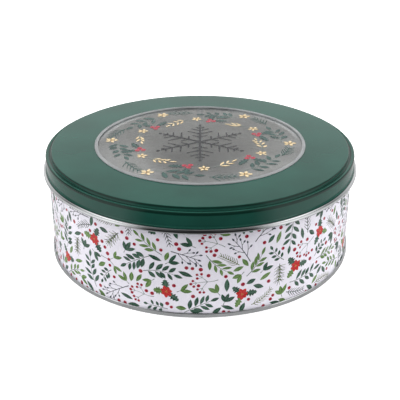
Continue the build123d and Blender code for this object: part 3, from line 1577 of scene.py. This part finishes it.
@dataclass
class TinBody:
    """The printed wall and the base, joined by a double seam."""

    sizes: TinSizes
    shop: Workshop
    base_recess: float = 3.6  # height of the base's low rim above the table
    base_rise: float = 0.8  # of its middle above that rim
    base_rim: float = 9.0
    base_slope: float = 1.2
    hook_bend: float = 0.25
    mouth_roll_end: float = 305.0  # where the mouth roll's open edge lies, in degrees
    bare_band: float = 2.3  # unprinted, below the middle of the rolled mouth
    seam_margin: float = 2.2  # unprinted, on each side of the side seam
    seam_groove: float = 0.22
    groove_reach: float = 0.2
    lap_width: float = 5.0
    lap_layers: int = 3
    lap_lift: float = 0.02  # air between the wall and the folded seam
    lap_end: float = 0.6  # from each end of the folded seam to the base and to the mouth
    lap_bevel: float = 0.3
    lap_slope: float = 0.5  # length over which each end is pressed thinner
    lap_pressed: float = 0.7  # share of the thickness at the very end
    fold_place: float = 1.0  # from one side of the seam to the line where its fold shows
    fold_half: float = 0.1
    fold_depth: float = 0.12

    def build_wall(self, ground: bpy.types.Material, bare: bpy.types.Material) -> bpy.types.Object:
        """Makes the wall, hooked at the foot and rolled inwards at the mouth.

        Args:
            ground: finish of the printed outside.
            bare: finish of the inside, of the rolled mouth and of the side seam's margins.

        Returns:
            The wall, which stands for the CAD wall.
        """
        sizes = self.sizes
        hook = sizes.wall_mid + 2 * sizes.pitch
        foot = sizes.sheet / 2 + sizes.pitch
        roll = sizes.mouth_roll / 2
        roll_height = sizes.mouth_height - roll
        print_top = roll_height - self.bare_band
        path = rounded(
            [
                (hook, sizes.seam_height - sizes.sheet / 2 - sizes.pitch, 0),
                (hook, foot, self.hook_bend),
                (sizes.wall_mid, foot, self.hook_bend),
                (sizes.wall_mid, print_top, 0),
            ]
        )
        middle = (sizes.wall_radius - roll, roll_height)
        path += arc(middle, roll - sizes.sheet / 2, 0, self.mouth_roll_end)
        section = SheetSection(path[::-1], sizes.sheet)
        wall = self.shop.turn("wall_sheet", section, ground, bare, 2 * ROUND_SIDES)
        self.mark_seam(wall.data, print_top * MM)
        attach(wall, "tin")
        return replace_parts(wall, "body_wall")

    def mark_seam(self, mesh: bpy.types.Mesh, print_top: float) -> None:
        """Sinks the side seam's groove into the back of the wall and bares the unprinted margins.

        Args:
            mesh: the wall's mesh.
            print_top: height where the print stops, in metres.
        """
        outside = (self.sizes.wall_radius - self.sizes.sheet / 2) * MM
        for vertex in mesh.vertices:
            on_back = vertex.co.y > 0 and abs(vertex.co.x) < self.groove_reach * MM
            if on_back and vertex.co.xy.length > outside and vertex.co.z > self.sizes.seam_height * MM:
                vertex.co.y -= self.seam_groove * MM
        for polygon in mesh.polygons:
            middle = polygon.center
            if middle.z > print_top or (middle.y > 0 and abs(middle.x) < self.seam_margin * MM):
                polygon.material_index = 1

    def build_lap(self, bare: bpy.types.Material) -> bpy.types.Object:
        """Makes the folded side seam that stands against the inside of the wall.

        Args:
            bare: finish of the seam.

        Returns:
            The seam.
        """
        sizes = self.sizes
        outer = sizes.wall_radius - sizes.sheet - self.lap_lift
        inner = outer - self.lap_layers * sizes.sheet + self.lap_lift
        low = self.base_recess + sizes.sheet + self.lap_end
        high = sizes.mouth_height - sizes.mouth_roll - self.lap_end
        half, bevel = self.lap_width / 2, self.lap_bevel
        fold = half - self.fold_place
        plan = [
            (-half, outer),
            (half, outer),
            (half, inner + bevel),
            (half - bevel, inner),
            (fold + self.fold_half, inner),
            (fold, inner + self.fold_depth),
            (fold - self.fold_half, inner),
            (-half + bevel, inner),
            (-half, inner + bevel),
        ]
        ends = [(low, self.lap_pressed), (high, self.lap_pressed)]
        levels = [ends[0], (low + self.lap_slope, 1.0), (high - self.lap_slope, 1.0), ends[1]]
        built = bmesh.new()
        rows = []
        for height, share in levels:
            row = []
            for across, radius in plan:
                depth = outer - (outer - radius) * share
                y = math.sqrt(depth**2 - across**2)
                row.append(built.verts.new((across * MM, y * MM, height * MM)))
            rows.append(row)
        for below, above in zip(rows, rows[1:]):
            for i in range(len(plan)):
                j = (i + 1) % len(plan)
                built.faces.new((below[i], below[j], above[j], above[i]))
        built.faces.new(rows[0])
        built.faces.new(rows[-1])
        bmesh.ops.recalc_face_normals(built, faces=built.faces)
        mesh = bpy.data.meshes.new("side_seam")
        built.to_mesh(mesh)
        built.free()
        mesh.materials.append(bare)
        lap = mesh_object("side_seam", mesh)
        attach(lap, "tin")
        return lap

    def build_base(self, inside: bpy.types.Material, bare: bpy.types.Material) -> bpy.types.Object:
        """Makes the base, whose rim wraps the wall's hook.

        Args:
            inside: finish of its upper side.
            bare: finish of its underside, which the seam turns outwards.

        Returns:
            The base, which stands for the CAD base.
        """
        sizes = self.sizes
        low = self.base_recess + sizes.sheet / 2
        chuck = sizes.wall_mid - sizes.pitch
        cover = sizes.wall_mid + sizes.pitch
        rim = sizes.wall_mid + 3 * sizes.pitch
        foot, roof = sizes.sheet / 2, sizes.seam_height - sizes.sheet / 2
        step = chuck - self.base_rim
        path = rounded(
            [
                (0, low + self.base_rise, 0),
                (step - self.base_slope, low + self.base_rise, 0.9),
                (step, low, 0.9),
                (chuck, low, 0.7),
                (chuck, foot, 0.5),
                (rim, foot, 0.55),
                (rim, roof, 0.4),
                (cover, roof, 0.3),
                (cover, foot + 2 * sizes.pitch, 0),
            ]
        )
        base = self.shop.turn("base_sheet", SheetSection(path, sizes.sheet, on_axis=True), inside, bare)
        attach(base, "tin")
        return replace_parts(base, "base_panel")


@dataclass
class Lid:
    """The drawn lid with its rolled edges, its clear window and the ring that holds it."""

    sizes: TinSizes
    shop: Workshop
    depth: float = 12.3
    roll: float = 2.4
    roll_rise: float = 0.7  # how much taller than wide the foot roll is
    roll_end: float = 110.0  # where the foot roll's open edge lies, in degrees
    ridge: float = 0.4  # how far the ridge over the foot roll stands out
    ridge_gap: float = 0.4
    ridge_levels: tuple[float, ...] = (0.25, -0.1, -0.5, -1.0)  # where it starts, is full, and ends
    shoulder: float = 0.7
    step_height: float = 2.0
    step_slope: float = 0.6
    step_bend: float = 0.45
    straight: float = 0.2  # left straight beside a roll
    ledge_width: float = 2.0
    ledge_setback: float = 1.2
    ledge_sink: float = 0.05
    channel: float = 0.3
    channel_width: float = 0.9  # also of the raised edge outside it
    window_roll: float = 1.4
    window_hem: float = 2.1  # across the whole hem
    hem_low: float = 1.0  # height of the hem's outer side
    hem_start: float = -20.0  # where its open edge lies, in degrees
    hem_turn: float = 14.0  # between two points of the hem, in degrees
    pane_thickness: float = 0.26
    pane_overlap: float = 6.0
    slack: float = 0.02  # air between the lid and the pane

    @property
    def ledge_top(self) -> float:
        """Height of the stacking ledge."""
        return self.sizes.mouth_height + self.sizes.lid_rest_gap + self.sizes.sheet

    @property
    def underside(self) -> float:
        """Height of the raised top's underside, which the pane lies against."""
        return self.ledge_top + self.step_height - self.sizes.sheet

    @property
    def pane_top(self) -> float:
        """Height of the pane's upper face."""
        return self.underside - self.slack

    def build_shell(self, enamel: bpy.types.Material, bare: bpy.types.Material) -> bpy.types.Object:
        """Makes the lid's one sheet, rolled up round the window and outwards at the foot.

        Args:
            enamel: finish of the outside.
            bare: finish of the inside, which the two rolls turn outwards.

        Returns:
            The shell, which stands for the CAD shell.
        """
        sizes = self.sizes
        half = sizes.sheet / 2
        skirt = sizes.wall_radius + sizes.lid_clearance + half
        top, floor = self.underside + half, self.ledge_top - half - self.ledge_sink
        ledge_end = skirt - self.ledge_setback - self.ledge_width
        curl, low, foot = self.window_roll / 2, self.hem_low / 2, self.roll / 2
        curl_in = (sizes.window_radius + curl, self.underside + curl)
        curl_out = (sizes.window_radius + self.window_hem - low, self.underside + low)
        foot_middle = (skirt - half + foot, self.ledge_top - self.depth + foot)
        foot_top = (foot_middle[0], foot_middle[1] + self.roll_rise)
        ridge_height = foot_top[1] + foot + self.ridge_gap
        ridge = [ridge_height + rise for rise in self.ridge_levels]
        path = arc(curl_out, low - half, self.hem_start, 90, self.hem_turn)
        path += arc(curl_in, curl - half, 90, 270, self.hem_turn)
        path += rounded(
            [
                (curl_out[0] + self.straight, top, 0),
                (ledge_end - self.step_slope, top, self.step_bend),
                (ledge_end, floor, self.step_bend),
                (ledge_end + self.channel_width, floor, 0.2),
                (skirt - self.channel_width, floor + self.channel, 0.3),
                (skirt, floor + self.channel, self.shoulder),
                (skirt, ridge[0], 0.1),
                (skirt + self.ridge, ridge[1], 0.12),
                (skirt + self.ridge, ridge[2], 0.12),
                (skirt, ridge[3], 0.2),
                (skirt, foot_middle[1] + self.straight, 0),
            ]
        )
        path += arc(foot_middle, foot - half, 180, 360)
        path += arc(foot_top, foot - half, 0, self.roll_end)
        shell = self.shop.turn("lid_sheet", SheetSection(path, sizes.sheet), enamel, bare)
        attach(shell, "lid")
        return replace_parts(shell, "lid_shell")

    def build_pane(self, clear: bpy.types.Material) -> bpy.types.Object:
        """Makes the clear pane.

        Args:
            clear: its finish.

        Returns:
            The pane, which stands for the CAD pane.
        """
        edge = self.sizes.window_radius + self.pane_overlap
        middle = self.pane_top - self.pane_thickness / 2
        path = [(edge * share, middle) for share in (0, 0.25, 0.5, 0.75, 0.99, 1)]
        section = SheetSection(path, self.pane_thickness, on_axis=True)
        pane = self.shop.turn("pane_sheet", section, clear, clear)
        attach(pane, "lid")
        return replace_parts(pane, "window_pane")

    def dress_ring(self, bare: bpy.types.Material) -> bpy.types.Object:
        """Gives the retaining ring, whose CAD shape is right as it is, its bare metal.

        Args:
            bare: its finish.

        Returns:
            The ring.
        """
        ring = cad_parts["window_ring"]
        for place in ring.material_slots:
            place.material = bare
        return ring


# The two prints


@dataclass
class Printer:
    """Turns a flat drawing into pieces of ink, one for each ink and kind of mark."""

    shop: Workshop
    inks: dict[Ink, bpy.types.Material] = field(default_factory=dict)

    def ink(self, ink: Ink) -> bpy.types.Material:
        """Gives an ink's finish, made at its first use.

        Args:
            ink: the ink.

        Returns:
            Its material.
        """
        if ink not in self.inks:
            self.inks[ink] = ink.value.material()
        return self.inks[ink]

    def run(self, prefix: str, drawing: Motif, surface: Surface) -> list[bpy.types.Object]:
        """Prints a drawing.

        Args:
            prefix: first part of the pieces' names.
            drawing: all the marks.
            surface: what they lie on.

        Returns:
            The finished pieces.
        """
        pieces = []
        for ink in Ink:
            name = f"{prefix}_{ink.value.name}"
            film = ink.value.film_mm
            lines = [k for k in drawing.strokes if k.ink is ink]
            if lines:
                pieces.append(self.shop.draw(f"{name}_lines", lines, film, self.ink(ink), surface))
            for shape in Shape:
                part = f"{name}_{shape.name.lower()}"
                marks = [k for k in drawing.stamps if k.ink is ink and k.shape is shape]
                if marks:
                    pieces.append(self.shop.stamp(part, marks, shape, self.ink(ink), surface))
        return pieces


@dataclass
class WallPrint:
    """Winter foliage scattered round the wall, from behind the foot seam to where the print stops."""

    sizes: TinSizes
    printer: Printer
    top: float = 65.0
    bottom: float = 1.3
    seam_margin: float = 2.5
    seed: int = 24

    def scatter(self) -> Motif:
        """Draws the motifs and finds each a free place.

        Returns:
            The whole flat drawing.
        """
        book = MotifBook(random.Random(self.seed))
        reach = math.pi * self.sizes.wall_radius - self.seam_margin
        sheet = PrintField((-reach, self.bottom), (reach, self.top), np.random.default_rng(self.seed))
        recipe: list[tuple[Callable[[], Motif], int]] = [
            (book.poinsettia, 18),
            (book.laurel, 22),
            (book.twig, 20),
            (book.larch, 15),
            (book.olive, 17),
            (book.rowan, 18),
            (book.juniper, 15),
            (book.fern, 15),
            (book.mistletoe, 15),
            (book.myrtle, 24),
            (book.oak, 16),
            (partial(book.pair, Ink.DARK_LEAF), 44),
            (partial(book.pair, Ink.LIGHT_LEAF), 30),
            (partial(book.single, Ink.DARK_LEAF), 120),
            (partial(book.single, Ink.LIGHT_LEAF), 80),
            (book.berry, 300),
        ]
        drawing = Motif()
        for draw, count in recipe:
            for i in range(count):
                placed = sheet.add(draw(), i / count, (i + 1) / count)
                if placed:
                    drawing.take(placed)
        return drawing

    def build(self) -> list[bpy.types.Object]:
        """Makes the print and returns its pieces."""
        surface = Surface("tin", "printed_tinplate", self.sizes.wall_radius)
        return self.printer.run("wall_print", self.scatter(), surface)


@dataclass
class WindowPrint:
    """A wreath of sprigs, blossoms and berries round a snow star, on the clear pane."""

    printer: Printer
    level: float
    outer: float = 55.0
    inner: float = 42.0
    star_reach: float = 29.0
    sectors: int = 6
    seed: int = 7

    def wreath(self) -> Motif:
        """Draws the whole window print, with two kinds of leafy sprig by turns round the snow star.

        Returns:
            The flat drawing, centred on the origin.
        """
        book = MotifBook(random.Random(self.seed))
        drawing = Motif()
        drawing.take(book.snow_star(self.star_reach))
        for i in range(self.sectors):
            start = math.tau * i / self.sectors
            if i % 2:
                sprig = book.leafy(Ink.SAGE, 27, (8.4, 3.5), 4, 0.9, 27 / self.outer)
                gilt = book.leafy(Ink.GOLD, 15, (5.6, 1.7), 3, 0.7, 0.4)
            else:
                sprig = book.leafy(Ink.SAGE, 24, (9.4, 3.8), 3, 0.8, 24 / self.outer)
                gilt = book.leafy(Ink.GOLD, 13, (6.4, 1.7), 2, 0.5, 0.3)
            parts = [
                (sprig, 0.0, self.outer - 1, 0.0),
                (book.needled(Ink.SAGE, 18, 7.0, 0.4, 0.8, 3.4), 0.62, self.outer + 2, -0.2),
                (book.blossom(9.0), 1.0, self.outer + 4, 0.2 * i),
                (book.trio(), 0.34, self.inner - 1, 0.9),
                (book.blossom(7.6), 0.58, self.inner + 2, 0.4 * i),
                (gilt, 0.72, self.inner + 1, 0.3),
            ]
            for part, ahead, radius, lean in parts:
                angle = start + ahead
                middle = (radius * math.cos(angle), radius * math.sin(angle))
                drawing.take(part.placed(middle, angle + math.pi / 2 + lean))
        return drawing

    def build(self) -> list[bpy.types.Object]:
        """Makes the print and returns its pieces."""
        surface = Surface("lid", "clear_window_sheet", level=self.level)
        return self.printer.run("window_print", self.wreath(), surface)


# The studio


@dataclass
class Studio:
    """A pale floor, soft light and the camera at the photograph's viewing angle, in metres.

    Gloss mirrors other patches of light than the ones that light matt surfaces, and the camera sees
    a plain pale room.
    """

    elevation: float = 26.186
    distance: float = 0.5027
    aim: float = 0.0266  # height that the camera looks at
    lens: float = 65.67
    sensor: float = 36.0
    near_clip: float = 0.01
    floor_size: float = 12.0
    floor_colour: str = "F4F4F5"
    floor_light: str = "F7F7F7"
    floor_grain_mm: float = 3.0
    floor_shown: float = 0.45  # glow that only the camera sees, for an even pale ground
    bounce_colour: str = "E2E2E3"
    front_bounce: str = "828284"
    front_shade: Point = (0.105, 0.16)  # how far in front the light from below fades out
    front_narrowing: float = 0.35
    mirrored_floor: str = "101010"
    near_floor: Point = (0.13, 0.17)  # radii between which the glow round the foot ends
    white: str = "FFFFFF"

    def build_camera(self) -> bpy.types.Object:
        """Makes the camera and gives it to the scene.

        Returns:
            The camera.
        """
        data = bpy.data.cameras.new("photo_camera")
        data.lens = self.lens
        data.sensor_width = self.sensor
        data.clip_start = self.near_clip
        camera = bpy.data.objects.new("photo_camera", data)
        bpy.context.scene.collection.objects.link(camera)
        tilt = math.radians(self.elevation)
        camera.location = (0, -self.distance * math.cos(tilt), self.aim + self.distance * math.sin(tilt))
        camera.rotation_euler = (math.radians(90) - tilt, 0, 0)
        bpy.context.scene.camera = camera
        return camera

    def build_floor(self) -> bpy.types.Object:
        """Makes the floor.

        Returns:
            The floor.
        """
        half = self.floor_size / 2
        corners = [(-half, -half, 0), (half, -half, 0), (half, half, 0), (-half, half, 0)]
        mesh = bpy.data.meshes.new("floor")
        mesh.from_pydata(corners, [], [(0, 1, 2, 3)])
        mesh.materials.append(self.board())
        floor = mesh_object("floor", mesh)
        floor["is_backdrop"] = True
        return floor

    def board(self) -> bpy.types.Material:
        """Builds the floor's finish, a matt white board.

        It lights the tin less in front of it. Gloss sees it dark, but for a glow round the foot of
        the tin and a paler stretch to the sides.

        Returns:
            The material.
        """
        material, tree, shader = start_material("matt_white_board")
        add = partial(put, tree)
        place = add("ShaderNodeTexCoord", out="Object")
        far, spot = round_axis(tree, place)
        rays = add("ShaderNodeLightPath").node.outputs
        grain = add(RANGE, add(NOISE, place, per_metre(self.floor_grain_mm), 3), 0.3, 0.7, 0, 1)
        pale = add(MIX, grain, linear(self.floor_colour), linear(self.floor_light), data_type="RGBA")
        south = add(MATH, spot["Y"], -1.0, operation="MULTIPLY")
        aside = add(MATH, spot["X"], operation="ABSOLUTE")
        narrowing = add(MATH, aside, self.front_narrowing, operation="MULTIPLY")
        forward = add(MATH, south, narrowing, operation="SUBTRACT")
        shaded = add(RANGE, forward, *self.front_shade, 0, 1)
        bounce = add(MIX, shaded, linear(self.bounce_colour), linear(self.front_bounce), data_type="RGBA")
        lit = add(MIX, rays["Is Camera Ray"], bounce, pale, data_type="RGBA")
        ahead = add(MATH, south, far, operation="DIVIDE")
        round_foot = [(far, *self.near_floor, 0.5, 0)]
        to_sides = [
            (ahead, 0.72, 0.88, 1.2, 0.01),
            (ahead, -0.1, 0.6, 0.5, 1),
            (far, *self.near_floor, 0, 1),
        ]
        glow = layered(tree, round_foot, to_sides)
        mirrored = add(MATH, rays["Is Glossy Ray"], glow, operation="MULTIPLY")
        shown = add(MATH, rays["Is Camera Ray"], self.floor_shown, operation="MULTIPLY")
        dark = linear(self.mirrored_floor)
        finish = {
            "Base Color": add(MIX, rays["Is Glossy Ray"], lit, dark, data_type="RGBA"),
            "Roughness": 0.9,
            "Specular IOR Level": 0.1,
            "Emission Color": linear(self.white),
            "Emission Strength": add(MATH, mirrored, shown, operation="ADD"),
        }
        feed(tree, shader, finish)
        return material

    def build_light(self) -> None:
        """Makes the soft surroundings, a pale wall behind the tin with light at both sides and above.

        Gloss gets its own layers of light, and the camera sees even white.
        """
        world = bpy.data.worlds.new("soft_studio")
        world.use_nodes = True
        tree = world.node_tree
        add = partial(put, tree)
        far, way = round_axis(tree, add("ShaderNodeTexCoord", out="Generated"))
        front = add(MATH, add(MATH, way["Y"], -1.0, operation="MULTIPLY"), far, operation="DIVIDE")
        aside = add(MATH, way["X"], operation="ABSOLUTE")
        height = way["Z"]
        behind = [(front, -0.8, -0.2, 0.9, 0), (height, 0.3, 0.62, 1, 0.3)]
        low_sides = [(front, -0.25, 0.15, 0, 1), (front, 0.45, 0.7, 1, 0), (height, 0.4, 0.8, 3.4, 0)]
        overhead = [(aside, 0.2, 0.45, 0, 1), (height, 0.55, 0.8, 0, 3.3)]
        rest = [(aside, 0.1, 0.5, 0.06, 0.3)]
        matt = layered(tree, behind, low_sides, overhead, rest)
        panels = [(front, -0.25, 0.15, 0, 0.72), (front, 0.64, 0.76, 1, 0), (height, 0.75, 0.85, 1, 0)]
        ceiling = [(height, 0.62, 0.72, 0, 1), (way["Y"], -0.45, -0.1, 0, 1), (aside, 0.5, 0.64, 0.2, 2)]
        dim_rest = [(aside, 0.1, 0.5, 0.03, 0.14)]
        gloss = layered(tree, behind, panels, ceiling, dim_rest)
        rays = add("ShaderNodeLightPath").node.outputs
        unseen = add(MIX, rays["Is Glossy Ray"], matt, gloss, data_type="FLOAT")
        strength = add(MIX, rays["Is Camera Ray"], unseen, 1.0, data_type="FLOAT")
        feed(tree, tree.nodes["Background"], {"Color": linear(self.white), "Strength": strength})
        bpy.context.scene.world = world
        bpy.context.scene.view_settings.view_transform = "Standard"


def report(piece: bpy.types.Object) -> None:
    """Logs a finished piece with its size."""
    count = sum(len(p.vertices) - 2 for p in piece.data.polygons)
    log.info("%s: %d triangles, %s", piece.name, count, [round(v / MM, 1) for v in piece.dimensions])


def main() -> None:
    """Builds the studio and the tin, in order."""
    logging.basicConfig(level=logging.INFO, format="%(name)s %(message)s", stream=sys.stdout)
    studio = Studio()
    studio.build_camera()
    studio.build_floor()
    studio.build_light()
    sizes, shop = TinSizes(), Workshop()
    bare = {metal: metal.value.material() for metal in Metal}
    body = TinBody(sizes, shop)
    report(body.build_wall(PrintedGround().material(), bare[Metal.LACQUERED]))
    report(body.build_lap(bare[Metal.FOLDED]))
    report(body.build_base(bare[Metal.OILED], bare[Metal.SEAMED]))
    lid = Lid(sizes, shop)
    report(lid.build_shell(StovedEnamel().material(), bare[Metal.CURLED]))
    report(lid.build_pane(ClearSheet().material()))
    report(lid.dress_ring(bare[Metal.CURLED]))
    printer = Printer(shop)
    for piece in WallPrint(sizes, printer).build():
        report(piece)
    for piece in WindowPrint(printer, lid.pane_top).build():
        report(piece)
    boxes = {"cad": cad_box, "visual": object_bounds()}
    {key: [list(corner) for corner in box] for key, box in boxes.items()}


if __name__ == "__main__":
    main()
